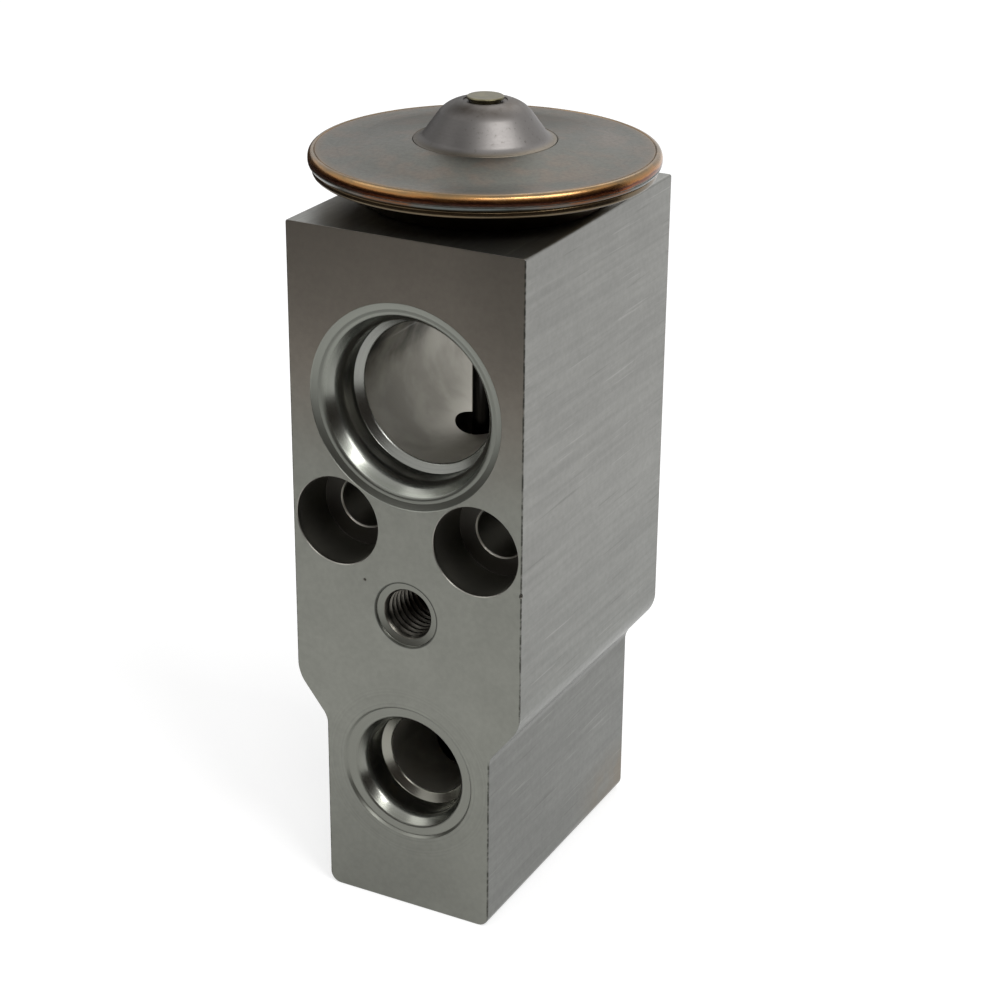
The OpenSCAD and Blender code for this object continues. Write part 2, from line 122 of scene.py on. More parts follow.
# Noise that changes along one value only, such as a radius, and so makes rings or lines
def stripes(tree, value, scale, detail):
    return grain(tree, addNode(tree, "CombineXYZ", {0: value}).outputs[0], scale, detail)


def axisParts(tree, point):
    parts = addNode(tree, "SeparateXYZ", {0: point}).outputs
    return parts[0], parts[1], parts[2]


def distance(tree, first, second):
    squares = [calc(tree, "POWER", value, 2) for value in (first, second)]
    return calc(tree, "SQRT", calc(tree, "ADD", *squares))


def times(tree, *values):
    product = values[0]
    for value in values[1:]:
        product = calc(tree, "MULTIPLY", product, value)
    return product


def dim(tree, amount, colour):
    return blendColour(tree, amount, colour, (0, 0, 0, 1))


def newMaterial(name):
    made = bpy.data.materials.new(name)
    made.use_nodes = True
    made.node_tree.nodes.clear()
    return made, made.node_tree


# The bump's depth is in millimetres
def metalShader(tree, colour, roughness, bump, depth, metallic=1.0):
    normal = addNode(tree, "Bump", {"Height": bump, "Distance": depth * mm, "Strength": 1.0}).outputs[0]
    shader = addNode(tree, "BsdfPrincipled", {"Base Color": colour, "Metallic": metallic,
                                              "Roughness": roughness, "Normal": normal})
    addNode(tree, "OutputMaterial", {"Surface": shader.outputs[0]})


# Camera, studio and lamps

cameraView = {
    "azimuth": 27.55,  # degrees to the right of the pipe face
    "elevation": 23.64,
    "roll": 0.52,
    "lens": 84.39,
    "target": (2.0, 0.0, 40.86),  # millimetres
    "distance": 244.9,
}


def makeCamera(view):
    azimuth, elevation, roll = (math.radians(view[key]) for key in ("azimuth", "elevation", "roll"))
    back = Vector((math.sin(azimuth) * math.cos(elevation),
                   -math.cos(azimuth) * math.cos(elevation), math.sin(elevation)))
    right = Vector((0, 0, 1)).cross(back).normalized()
    up = back.cross(right)
    turn = Matrix.Rotation(roll, 3, back)
    data = bpy.data.cameras.new("photoCamera")
    data.lens = view["lens"]
    data.clip_start = 0.01
    made = bpy.data.objects.new("photoCamera", data)
    scene.collection.objects.link(made)
    axes = Matrix((turn @ right, turn @ up, back)).transposed().to_4x4()
    place = (Vector(view["target"]) + back * view["distance"]) * mm
    made.matrix_world = Matrix.Translation(place) @ axes
    scene.camera = made


studio = {
    "worldLevel": 0.5,
    "floorGlow": 0.55,
    "floorGlowFar": 0.78,
    "floorGlowRise": (300, 900),  # millimetres from the middle
    "floorPaint": 0.6,
    "floorShade": 0.7,
    "floorRadius": 1.6,
    "floorDrop": 0.02,  # millimetres below the part
    "lampAim": 45,  # height in millimetres
    "darkWalls": {
        "darkWall": {"radius": 0.20, "height": 0.165, "from": -12, "to": 125, "colour": (58, 51, 46)},
        "darkWallLeft": {"radius": 0.20, "height": 0.105, "from": -160, "to": -12, "colour": (58, 51, 46)},
    },
    "lamps": {
        "windowRight": {"azimuth": 82, "elevation": 42, "distance": 0.75, "size": 0.30, "watts": 1.7},
        "glintRight": {"azimuth": 58, "elevation": 50, "distance": 0.70, "size": 0.16, "watts": 0.95},
        "lampAbove": {"azimuth": 33, "elevation": 47, "distance": 0.70, "size": 0.18, "watts": 0.45},
        "fillLeft": {"azimuth": -70, "elevation": 50, "distance": 0.9, "size": 0.5, "watts": 1.0},
        "fillBack": {"azimuth": 190, "elevation": 45, "distance": 0.9, "size": 0.5, "watts": 1.0},
    },
}


def seenDirectly(tree):
    path = addNode(tree, "LightPath")
    seen = calc(tree, "MAXIMUM", path.outputs["Is Camera Ray"], path.outputs["Is Glossy Ray"])
    return calc(tree, "MAXIMUM", seen, path.outputs["Is Transmission Ray"])


def makeWorld(look):
    world = bpy.data.worlds.new("studio")
    scene.world = world
    world.use_nodes = True
    tree = world.node_tree
    tree.nodes.clear()
    strength = addNode(tree, "MapRange", {"Value": seenDirectly(tree), "To Min": look["worldLevel"],
                                          "To Max": 1.0}).outputs["Result"]
    light = addNode(tree, "Background", {"Color": (1, 1, 1, 1), "Strength": strength})
    addNode(tree, "OutputWorld", {"Surface": light.outputs[0]})


def makeFloor(look):
    material, tree = newMaterial("whiteFloor")
    paint = addNode(tree, "BsdfDiffuse", {"Color": (look["floorPaint"],) * 3 + (1,)})
    x, y, z = axisParts(tree, partPoint(tree))
    far = fade(tree, distance(tree, x, y), *look["floorGlowRise"], look["floorGlow"], look["floorGlowFar"])
    glow = addNode(tree, "Emission", {"Color": (1, 1, 1, 1), "Strength": far})
    bright = addNode(tree, "AddShader", {0: paint.outputs[0], 1: glow.outputs[0]})
    plain = addNode(tree, "BsdfDiffuse", {"Color": (look["floorShade"],) * 3 + (1,)})
    both = addNode(tree, "MixShader", {0: seenDirectly(tree), 1: plain.outputs[0], 2: bright.outputs[0]})
    addNode(tree, "OutputMaterial", {"Surface": both.outputs[0]})
    bm = bmesh.new()
    bmesh.ops.create_circle(bm, cap_ends=True, segments=64, radius=look["floorRadius"])
    bmesh.ops.translate(bm, verts=bm.verts, vec=(0, 0, -look["floorDrop"] * mm))
    addObject("floor", bm, [material])


# Dark bands on the camera's side, as a room has round the white sheet. Only shiny surfaces show them.
def makeDarkWall(name, look):
    material, tree = newMaterial(name)
    shade = addNode(tree, "Emission", {"Color": tone(*look["colour"]), "Strength": 1.0})
    addNode(tree, "OutputMaterial", {"Surface": shade.outputs[0]})
    bm = bmesh.new()
    start = math.radians(look["from"])
    turn = math.radians(look["to"] - look["from"])
    low = bm.verts.new((math.sin(start) * look["radius"], -math.cos(start) * look["radius"], 0))
    high = bm.verts.new((low.co.x, low.co.y, look["height"]))
    edge = bm.edges.new((low, high))
    bmesh.ops.spin(bm, geom=[low, high, edge], cent=(0, 0, 0), axis=(0, 0, 1), angle=turn, steps=60)
    wall = addObject(name, bm, [material])
    wall.visible_camera = False
    wall.visible_diffuse = False
    wall.visible_shadow = False


def makeLamp(name, look):
    azimuth, elevation = math.radians(look["azimuth"]), math.radians(look["elevation"])
    towards = Vector((math.sin(azimuth) * math.cos(elevation),
                      -math.cos(azimuth) * math.cos(elevation), math.sin(elevation)))
    data = bpy.data.lights.new(name, "AREA")
    data.shape = "DISK"
    data.size = look["size"]
    data.energy = look["watts"]
    made = bpy.data.objects.new(name, data)
    made.location = Vector((0, 0, studio["lampAim"] * mm)) + towards * look["distance"]
    made.rotation_euler = towards.to_track_quat("Z", "Y").to_euler()
    scene.collection.objects.link(made)


def addObject(name, bm, materials):
    mesh = bpy.data.meshes.new(name)
    bm.to_mesh(mesh)
    bm.free()
    made = bpy.data.objects.new(name, mesh)
    for material in materials:
        mesh.materials.append(material)
    scene.collection.objects.link(made)
    return made


scene.view_settings.view_transform = "Standard"
makeCamera(cameraView)
makeWorld(studio)
makeFloor(studio)
for wallName, wallLook in studio["darkWalls"].items():
    makeDarkWall(wallName, wallLook)
for lampName, lampLook in studio["lamps"].items():
    makeLamp(lampName, lampLook)
print("camera and studio made")


# Meshes: an outline has points (radius, height) or (radius, height, rounding) in millimetres

def roundedLine(points, closed=False):
    bm = bmesh.new()
    verts = [bm.verts.new((point[0] * mm, 0, point[1] * mm)) for point in points]
    for pair in zip(verts, verts[1:] + verts[:1] if closed else verts[1:]):
        bm.edges.new(pair)
    rounds = []
    for index, point in enumerate(points):
        if len(point) > 2:
            here = verts[index].co
            before = verts[index - 1].co - here
            after = verts[(index + 1) % len(points)].co - here
            rounds.append((verts[index], point[2], point[2] * mm / math.tan(before.angle(after) / 2)))
    for vert, radius, offset in rounds:
        bmesh.ops.bevel(bm, geom=[vert], offset=offset, offset_type="OFFSET", profile=0.5,
                        segments=max(3, min(14, round(3 + radius * 6))), affect="VERTICES", material=-1)
    return bm


def turned(points, steps=96, closed=False):
    bm = roundedLine(points, closed)
    bmesh.ops.spin(bm, geom=bm.verts[:] + bm.edges[:], cent=(0, 0, 0), axis=(0, 0, 1),
                   angle=math.tau, steps=steps, use_merge=True)
    bmesh.ops.remove_doubles(bm, verts=bm.verts, dist=0.0005 * mm)
    bmesh.ops.recalc_face_normals(bm, faces=bm.faces)
    return bm


# A closed helix whose section is a tooth, wide at the near radius and narrow at the far one
def toothHelix(near, far, pitch, start, end, wide=0.44, narrow=0.07, steps=48):
    bm = bmesh.new()
    section = ((near, -wide), (far, -narrow), (far, narrow), (near, wide))
    verts = [bm.verts.new((radius * mm, 0, (start + share * pitch) * mm)) for radius, share in section]
    edges = [bm.edges.new(pair) for pair in zip(verts, verts[1:] + verts[:1])]
    turns = (end - start) / pitch
    count = round(turns * steps)
    bmesh.ops.spin(bm, geom=verts + edges, cent=(0, 0, 0), axis=(0, 0, 1), angle=turns * math.tau,
                   steps=count, dvec=(0, 0, (end - start) * mm / count))
    bmesh.ops.holes_fill(bm, edges=[edge for edge in bm.edges if edge.is_boundary], sides=4)
    bmesh.ops.recalc_face_normals(bm, faces=bm.faces)
    return bm


def placed(bm, matrix):
    bmesh.ops.transform(bm, matrix=matrix, verts=bm.verts)
    return bm


# Puts a cutter that runs along +Z onto the pipe face, or the face opposite, running inwards
def intoFace(bm, x, z, back=False):
    side = 1 if back else -1
    turn = Matrix.Rotation(math.radians(90 * side), 4, "X")
    return placed(bm, Matrix.Translation((x * mm, side * blockDepth / 2 * mm, z * mm)) @ turn)


def painted(bm, test, index):
    for face in bm.faces:
        if test(face.calc_center_median() / mm):
            face.material_index = index


def carve(piece, cutters):
    for cutter in cutters:
        cut = piece.modifiers.new(cutter.name, "BOOLEAN")
        cut.object = cutter
        cut.operation = "DIFFERENCE"
        cut.solver = "MANIFOLD"
        cut.material_mode = "TRANSFER"
    made = piece.evaluated_get(bpy.context.evaluated_depsgraph_get())
    piece.data = bpy.data.meshes.new_from_object(made)
    piece.modifiers.clear()
    for cutter in cutters:
        bpy.data.objects.remove(cutter)


def finish(piece, body, nodes, sharp=34):
    piece.data.shade_smooth()
    piece.data.set_sharp_from_angle(angle=math.radians(sharp))
    weighted = piece.modifiers.new("evenFaces", "WEIGHTED_NORMAL")
    weighted.keep_sharp = True
    if body:
        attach(piece, body)
    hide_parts(*nodes)
    print(piece.name, len(piece.data.polygons), "faces")


# Sizes that the frame gives, in millimetres

def nodeBox(name):
    low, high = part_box(name)
    return low / mm, high / mm


blockLow, blockHigh = nodeBox("valve_block")
blockWidth = blockHigh.x - blockLow.x
blockDepth = blockHigh.y - blockLow.y
blockHeight = blockHigh.z
mounts = {mount["name"]: mount for mount in frame["record"]["mounts"]}


def mountZ(name):
    return mounts[name]["pos_m"][2] / mm


def mountR(name):
    return mounts[name]["dims"]["r_mm"]


# Finishes of the block

blockShape = {
    "footWidth": 19.1,
    "flankHeight": 20.0,
    "flankAngle": 52,
    "flankRound": 2.0,
    "shoulderRound": 3.5,
    "footRound": 1.2,
    "topRound": 0.25,
    "edgeBreak": 0.12,
}

blockLook = {
    "milled": (127, 128, 121),
    "drawn": (128, 129, 125),
    "drawnHigh": (137, 137, 133),
    "paintedWarmReflection": (129, 123, 114),
    "stain": (128, 117, 100),
    "scratchLight": (160, 160, 156),
    "scratchDark": (84, 84, 80),
    "edge": (64, 65, 60),
    "roughness": 0.36,
    "bump": 0.015,
    # ranges in millimetres, over the height ("Rise" and "up"), x ("across") and y ("along")
    "drawnRise": (22, 50),
    "paintedWarmReflectionRise": (46, 62),
    "marks": {"cloud": 0.07, "mottle": 0.06, "lines": 0.15, "scratches": 0.35, "arcs": 0.10},
    "arcRadii": (11.5, 7.8),
    "stained": {"up": (8, 3), "along": (3, 13)},
    "outline": {"radius": 3.54, "width": 0.18, "strength": 0.75},
    "cornerShade": {"across": (3, 13), "up": (48, 66), "strength": 0.22},
    "topShade": {"up": (57, 66), "strength": 0.10},
    "footShade": {"across": (12, -6), "up": (21, 2), "strength": 0.26, "rightShare": 0.4},
    "footSideShade": {"up": (22, 19), "strength": 0.18},
    "edgeShadeLine": {"wide": 0.03, "foot": 0.05},
}


# Drawn bar: lines along Y on the sides and a fine milled finish on both ends, with painted light and shade
# over them
def drawnAndMilled(look, shape):
    material, tree = newMaterial("blockSkin")
    point = partPoint(tree)
    x, y, z = axisParts(tree, point)
    normal = axisParts(tree, addNode(tree, "TexCoord").outputs["Normal"])
    milled = fade(tree, calc(tree, "ABSOLUTE", normal[1]), 0.6, 0.8)
    sides = calc(tree, "SUBTRACT", 1.0, milled)
    front = times(tree, milled, fade(tree, y, 0, -10))
    lines = grain(tree, partPoint(tree, stretch=(1.2, 0.03, 1.2)), 1.0, 4, 0.7)
    scratches = grain(tree, partPoint(tree, stretch=(3.4, 0.08, 3.4)), 1.0, 1, 0.5)
    fine = grain(tree, point, 9.0, 3)
    cloud = grain(tree, point, 0.18, 4)
    mottle = grain(tree, point, 1.6, 3)

    # Painted light: the sides are lighter higher up
    risen = fade(tree, z, *look["drawnRise"])
    drawn = blendColour(tree, risen, tone(*look["drawn"]), tone(*look["drawnHigh"]))
    colour = blendColour(tree, milled, drawn, tone(*look["milled"]))
    # Painted reflection: a warm tint high on the pipe face, for the brown room that it reflects
    paintedWarmReflection = times(tree, front, fade(tree, z, *look["paintedWarmReflectionRise"]))
    colour = blendColour(tree, paintedWarmReflection, colour, tone(*look["paintedWarmReflection"]))

    marks = look["marks"]
    colour = dim(tree, fade(tree, cloud, 0.3, 0.7, 0, marks["cloud"]), colour)
    colour = dim(tree, fade(tree, mottle, 0.3, 0.7, 0, marks["mottle"]), colour)
    reach = distance(tree, x, calc(tree, "SUBTRACT", z, mountZ("liquid_inlet")))
    near = times(tree, front, fade(tree, reach, *look["arcRadii"]))
    arcs = fade(tree, stripes(tree, reach, 3.0, 2), 0.4, 0.65, 0, marks["arcs"])
    colour = dim(tree, times(tree, near, arcs), colour)
    colour = dim(tree, times(tree, sides, fade(tree, lines, 0.32, 0.68, 0, marks["lines"])), colour)
    for light, low, high in (("scratchLight", 0.68, 0.76), ("scratchDark", 0.32, 0.24)):
        mark = times(tree, sides, fade(tree, scratches, low, high, 0, marks["scratches"]))
        colour = blendColour(tree, mark, colour, tone(*look[light]))
    stained = look["stained"]
    lowBack = times(tree, sides, fade(tree, z, *stained["up"]), fade(tree, y, *stained["along"]))
    stain = times(tree, lowBack, fade(tree, cloud, 0.3, 0.6, 0.1, 0.7))
    colour = blendColour(tree, stain, colour, tone(*look["stain"]))

    corner, top, foot = (look[name] for name in ("cornerShade", "topShade", "footShade"))
    shade = times(tree, front, fade(tree, x, *corner["across"]), fade(tree, z, *corner["up"]))
    colour = dim(tree, times(tree, shade, corner["strength"]), colour)
    colour = dim(tree, times(tree, front, fade(tree, z, *top["up"]), top["strength"]), colour)
    # Painted shade: a thin dark ring round the tapped hole, at the step of its mouth
    outline = look["outline"]
    fromStud = distance(tree, x, calc(tree, "SUBTRACT", z, mountZ("stud_hole")))
    offset = calc(tree, "ABSOLUTE", calc(tree, "SUBTRACT", fromStud, outline["radius"]))
    ring = fade(tree, offset, outline["width"], 0.0, 0.0, outline["strength"])
    colour = dim(tree, times(tree, front, ring), colour)
    leftFoot = fade(tree, x, *foot["across"], foot["rightShare"], 1.0)
    shade = times(tree, front, fade(tree, z, *foot["up"]), leftFoot, foot["strength"])
    colour = dim(tree, shade, colour)
    footSide = look["footSideShade"]
    colour = dim(tree, times(tree, sides, fade(tree, z, *footSide["up"]), footSide["strength"]), colour)

    # Painted shade: the broken edges of the ends show as thin, uneven dark lines
    outward = calc(tree, "ADD", calc(tree, "ABSOLUTE", x), calc(tree, "ABSOLUTE", y))
    wideEdge = (blockWidth + blockDepth) / 2 - shape["edgeBreak"]
    footEdge = (shape["footWidth"] + blockDepth) / 2 - shape["edgeBreak"]
    soft = look["edgeShadeLine"]
    footOnly = fade(tree, z, shape["flankHeight"], shape["flankHeight"] - 1)
    edge = times(tree, fade(tree, outward, footEdge - soft["foot"], footEdge), footOnly)
    edge = calc(tree, "MAXIMUM", edge, fade(tree, outward, wideEdge - soft["wide"], wideEdge))
    edge = times(tree, edge, fade(tree, mottle, 0.38, 0.60, 0.3, 1.0))
    colour = blendColour(tree, edge, colour, tone(*look["edge"]))
    rough = calc(tree, "ADD", look["roughness"] - 0.05, times(tree, mottle, 0.1))
    height = calc(tree, "ADD", times(tree, lines, sides, 0.5), times(tree, fine, 0.25))
    metalShader(tree, colour, rough, height, look["bump"])
    return material


recess = {"depth": 0.30, "edge": 0.06, "shoulderAngle": 31, "mouth": 0.35}
faceTone = blockLook["milled"]
# Painted light: the deeper tone is lighter, to lift the dark walls of the bores
portLook = {"deep": (145, 146, 141), "from": 0.6, "to": 1.8, "rimRoughness": 0.36, "roughness": 0.25}
boltLook = {"rim": (136, 134, 127), "deep": (122, 120, 112), "from": 0.1, "to": 0.6,
            "rimRoughness": 0.36, "roughness": 0.46,
            # depth, softness and colour: the floor's painted shade, a painted highlight on its inner edge,
            # the hole behind it
            "paintedBands": [(5.44, 0.02, (74, 72, 68)), (5.52, 0.02, (225, 222, 214)),
                      (5.70, 0.04, (160, 158, 151))]}
# The ring of the tapped hole's mouth is painted shade, darker than the face
studLook = {"rim": (118, 119, 112), "deep": (96, 93, 87), "from": 0.4, "to": 0.7,
            "rimRoughness": 0.36, "roughness": 0.36}


# Turned port: rings about the port's own axis, on its floors and down its walls
def turnedPort(name, look, x, height):
    material, tree = newMaterial(name)
    across, y, up = axisParts(tree, partPoint(tree, centre=(x, 0, height)))
    depth = calc(tree, "SUBTRACT", blockDepth / 2, calc(tree, "ABSOLUTE", y))
    along = calc(tree, "ADD", distance(tree, across, up), y)
    rings = stripes(tree, along, 9.0, 2)
    inward = fade(tree, depth, look["from"], look["to"])
    colour = blendColour(tree, inward, tone(*look["rim"]), tone(*look["deep"]))
    # The bands are painted light and shade at given depths
    for start, soft, bandColour in look.get("paintedBands", []):
        colour = blendColour(tree, fade(tree, depth, start, start + soft), colour, tone(*bandColour))
    colour = dim(tree, fade(tree, rings, 0.3, 0.7, 0, 0.08), colour)
    lip = recess["depth"]
    rough = fade(tree, depth, lip, 2 * lip, look["rimRoughness"], look["roughness"])
    metalShader(tree, colour, rough, rings, 0.004)
    return material


passageLook = {"bare": (172, 169, 160), "dull": (154, 151, 142), "roughness": 0.5, "metallic": 0.9,
               "shadow": {"strength": 0.93, "across": (-2.0, -7.0), "up": (0.0, 5.5)}}


# The passage between the suction ports is darker high on its left, where it shows the dark of the bore
def passageMetal(look):
    material, tree = newMaterial("passageWall")
    point = partPoint(tree, centre=(0, 0, mountZ("suction_inlet")))
    x, y, z = axisParts(tree, point)
    cloud = grain(tree, point, 0.22, 3, 0.5, 0.2)
    speck = grain(tree, point, 7.0, 2)
    colour = blendColour(tree, fade(tree, cloud, 0.36, 0.62), tone(*look["dull"]), tone(*look["bare"]))
    shadow = look["shadow"]
    wander = times(tree, calc(tree, "SUBTRACT", cloud, 0.5), 9.0)
    across = fade(tree, calc(tree, "ADD", x, wander), *shadow["across"])
    up = fade(tree, calc(tree, "SUBTRACT", z, wander), *shadow["up"])
    colour = dim(tree, times(tree, across, up, shadow["strength"]), colour)
    height = calc(tree, "ADD", cloud, times(tree, speck, 0.3))
    metalShader(tree, colour, look["roughness"], height, 0.02, look["metallic"])
    return material


def cloudedMetal(name, look, size, depth=0.02):
    material, tree = newMaterial(name)
    point = partPoint(tree)
    cloud = grain(tree, point, size, 4)
    speck = grain(tree, point, 7.0, 2)
    colour = blendColour(tree, fade(tree, cloud, 0.32, 0.68), tone(*look["dull"]), tone(*look["bare"]))
    rough = calc(tree, "ADD", look["roughness"] - 0.06, times(tree, cloud, 0.12))
    metalShader(tree, colour, rough, calc(tree, "ADD", cloud, times(tree, speck, 0.3)), depth,
                look.get("metallic", 1.0))
    return material


dentLook = {"bare": (88, 86, 80), "dull": (60, 58, 54), "roughness": 0.38}
threadLook = {"bare": (116, 113, 106), "dull": (84, 82, 76), "roughness": 0.36}

finishes = {
    "blockSkin": drawnAndMilled(blockLook, blockShape),
    "passage": passageMetal(passageLook),
    "dent": cloudedMetal("dentFloor", dentLook, 0.8),
    "thread": cloudedMetal("cutThread", threadLook, 0.8),
}


# The block

# A port's lead-in runs from the recess down to its bore, and a curve at each end blends it in
# Each port's floor tone is painted shade on its shoulder, and the small inlet's rim tone is painted shade
# on its recess
suctionShape = {"edge": 10.6, "floor": 9.95, "leadTop": 9.43, "bore": 8.28, "leadEnd": 1.88, "depth": 4.4,
                "passage": 7.35, "reach": 17.4, "rounds": (0.5, 2.4), "rim": (126, 128, 121),
                "paintedFloorShade": (134, 135, 130)}
portShapes = {
    "suction_outlet": suctionShape,
    "suction_inlet": suctionShape,
    "liquid_inlet": {"edge": 7.5, "floor": 7.3, "leadTop": 6.34, "bore": 5.46, "leadEnd": 1.54,
                     "depth": 4.1, "passage": 4.5, "reach": 16.4, "rounds": (0.4, 1.6),
                     "rim": (121, 122, 115), "paintedFloorShade": (140, 139, 130)},
    "liquid_outlet": {"edge": 8.5, "floor": 8.3, "leadTop": 7.34, "bore": 6.46, "leadEnd": 1.54,
                      "depth": 4.1, "passage": 4.7, "reach": 19.4, "rounds": (0.4, 1.6),
                      "rim": faceTone, "paintedFloorShade": (142, 141, 134)},
}

boltShape = {"head": 4.7, "headDepth": 5.5, "edge": 0.08, "corner": 0.05, "seat": 0.17}
studShape = {"mouth": 3.45, "step": 0.26, "ring": 2.72, "ringDepth": 0.38, "depth": 11.5,
             "major": 2.95, "pitch": 0.8, "threadFrom": 0.9, "threadTo": 10.6}
# The bore's thread has the pitch of the screw in it, and teeth that clear it at both of its limits
boreShape = {"core": 5.46, "thread": 6.02, "threadFrom": -0.8, "threadEnd": 5.4, "relief": 1.0,
             "pitch": 1.0, "toothWide": 0.465, "toothNarrow": 0.095, "mouth": 0.45,
             "chamber": 5.2, "ceiling": 20.4, "seat": 2.3, "orifice": 1.7, "guide": 1.25,
             "pocket": 2.95, "pocketDepth": 4.5}
headBoreShape = {"gas": 6.6, "neck": 8.05, "neckLength": 7.4, "groove": 9.49, "grooveDepth": 1.44}


def blockBar(shape):
    slope = math.tan(math.radians(shape["flankAngle"]))
    foot, side = shape["footWidth"] / 2, blockWidth / 2
    shoulder = shape["flankHeight"] + (side - foot) * slope
    half = [(foot, 0, shape["footRound"]), (foot, shape["flankHeight"], shape["flankRound"]),
            (side, shoulder, shape["shoulderRound"]), (side, blockHeight, shape["topRound"])]
    bm = roundedLine(half + [(-x, z, r) for x, z, r in reversed(half)], closed=True)
    bmesh.ops.translate(bm, verts=bm.verts, vec=(0, -blockDepth / 2 * mm, 0))
    front = bmesh.ops.contextual_create(bm, geom=bm.edges)["faces"]
    grown = bmesh.ops.extrude_face_region(bm, geom=front, use_keep_orig=True)["geom"]
    bmesh.ops.translate(bm, verts=[v for v in grown if isinstance(v, bmesh.types.BMVert)],
                        vec=(0, blockDepth * mm, 0))
    bmesh.ops.recalc_face_normals(bm, faces=bm.faces)
    ends = [face for face in bm.faces if len(face.verts) > 8]
    bmesh.ops.bevel(bm, geom=[edge for face in ends for edge in face.edges], offset=shape["edgeBreak"] * mm,
                    offset_type="OFFSET", segments=2, profile=0.5, affect="EDGES", material=-1)
    return bm


def portCutter(name, shape):
    bore, passage, depth, wide = shape["bore"], shape["passage"], shape["depth"], shape["edge"]
    fall = math.tan(math.radians(recess["shoulderAngle"])) * (bore - passage)
    edge, floor = recess["edge"], recess["depth"]
    topRound, lowRound = shape["rounds"]
    bm = turned([(0, -1), (wide + edge, -1), (wide + edge, 0), (wide, edge, 0.08),
                 (shape["floor"], floor, 0.15), (shape["leadTop"], floor, topRound),
                 (bore, shape["leadEnd"], lowRound), (bore, depth, 0.1),
                 (passage, depth + fall, recess["mouth"]), (passage, shape["reach"]),
                 (0, shape["reach"])], steps=128)
    painted(bm, lambda centre: centre.z > depth + fall + 0.05, 1)
    intoFace(bm, 0, mountZ(name), back=mounts[name]["axis"][1] > 0)
    look = {**portLook, "rim": shape["rim"], "paintedBands": [(depth - 0.12, 0.08, shape["paintedFloorShade"])]}
    turnedLook = turnedPort(name + "_turned", look, 0, mountZ(name))
    return addObject("cut_" + name, bm, [turnedLook, finishes["passage"]])


def boltCutter(side, shape):
    dims = mounts["evaporator_bolts"]["dims"]
    hole, x, z = dims["hole_r_mm"], side * dims["spacing_x_mm"] / 2, mountZ("evaporator_bolts")
    head, edge, depth, seat = shape["head"], shape["edge"], shape["headDepth"], shape["seat"]
    bm = turned([(0, -1), (head + edge, -1), (head + edge, 0), (head, edge), (head, depth, shape["corner"]),
                 (hole + seat, depth, 0.02), (hole, depth + seat, 0.02), (hole, blockDepth - 0.15),
                 (hole + 0.15, blockDepth), (hole + 0.15, blockDepth + 1), (0, blockDepth + 1)], steps=96)
    intoFace(bm, x, z)
    name = "boltHoleLeft" if side < 0 else "boltHoleRight"
    return addObject("cut_bolt", bm, [turnedPort(name, boltLook, x, z)])


def studCutters(shape):
    core, mouth, ring, ringDepth = mountR("stud_hole"), shape["mouth"], shape["ring"], shape["ringDepth"]
    tip = shape["depth"] + core * math.tan(math.radians(recess["shoulderAngle"]))
    hole = turned([(0, -1), (mouth + 0.05, -1), (mouth + 0.05, 0), (mouth, shape["step"], 0.05),
                   (ring, ringDepth, 0.1),
                   (core, ringDepth + ring - core + 0.2), (core, shape["depth"]), (0, tip)], steps=96)
    painted(hole, lambda centre: centre.z < ringDepth, 1)
    thread = toothHelix(core - 0.12, shape["major"], shape["pitch"], shape["threadFrom"], shape["threadTo"])
    looks = [finishes["thread"], turnedPort("studMouth", studLook, 0, mountZ("stud_hole"))]
    return [addObject("cut_stud", intoFace(bm, 0, mountZ("stud_hole")), looks) for bm in (hole, thread)]


def valveBoreCutters(shape):
    suction, outlet = mountZ("suction_outlet"), mountZ("liquid_outlet")
    pocketFloor = suction - portShapes["suction_outlet"]["passage"] - shape["pocketDepth"]
    core, wide, chamber = shape["core"], shape["thread"] + shape["mouth"], shape["chamber"]
    seatTop = shape["ceiling"] + shape["seat"] - shape["orifice"]
    relief, end = shape["threadEnd"] - shape["relief"], shape["threadEnd"]
    bore = turned([(0, -1), (wide, -1), (wide, 0), (core, wide - core), (core, relief),
                   (shape["thread"], relief + shape["thread"] - core), (shape["thread"], end), (core, end),
                   (chamber, end + core - chamber), (chamber, shape["ceiling"], 0.15),
                   (shape["seat"], shape["ceiling"]), (shape["orifice"], seatTop),
                   (shape["orifice"], outlet), (shape["guide"], outlet), (shape["guide"], pocketFloor),
                   (shape["pocket"], pocketFloor), (shape["pocket"], suction), (0, suction)], steps=96)
    thread = toothHelix(core - 0.12, shape["thread"], shape["pitch"], shape["threadFrom"], end - 0.1,
                        wide=shape["toothWide"], narrow=shape["toothNarrow"], steps=72)
    return [addObject("cut_bore", bm, [finishes["thread"]]) for bm in (bore, thread)]


def headBoreCutter(shape):
    suction = mountZ("suction_outlet")
    neckEnd = blockHeight - shape["neckLength"]
    grooveEnd = blockHeight - shape["grooveDepth"]
    bm = turned([(0, suction), (shape["gas"], suction), (shape["gas"], neckEnd),
                 (shape["neck"], neckEnd), (shape["neck"], grooveEnd), (shape["groove"], grooveEnd),
                 (shape["groove"], blockHeight + 1), (0, blockHeight + 1)], steps=96)
    return addObject("cut_head", bm, [finishes["passage"]])


# Dents that the photo shows: a speck left of the tapped hole and a nick in the right-hand edge
dents = {
    "speck": {"place": (-4.7, -16.5, 37.0), "radius": 0.20},
    "nick": {"place": (13.08, -16.45, 39.2), "radius": 0.34},
}


def dentCutter(name, dent):
    bm = bmesh.new()
    bmesh.ops.create_icosphere(bm, subdivisions=3, radius=dent["radius"] * mm)
    bmesh.ops.translate(bm, verts=bm.verts, vec=Vector(dent["place"]) * mm)
    return addObject("cut_" + name, bm, [finishes["dent"]])


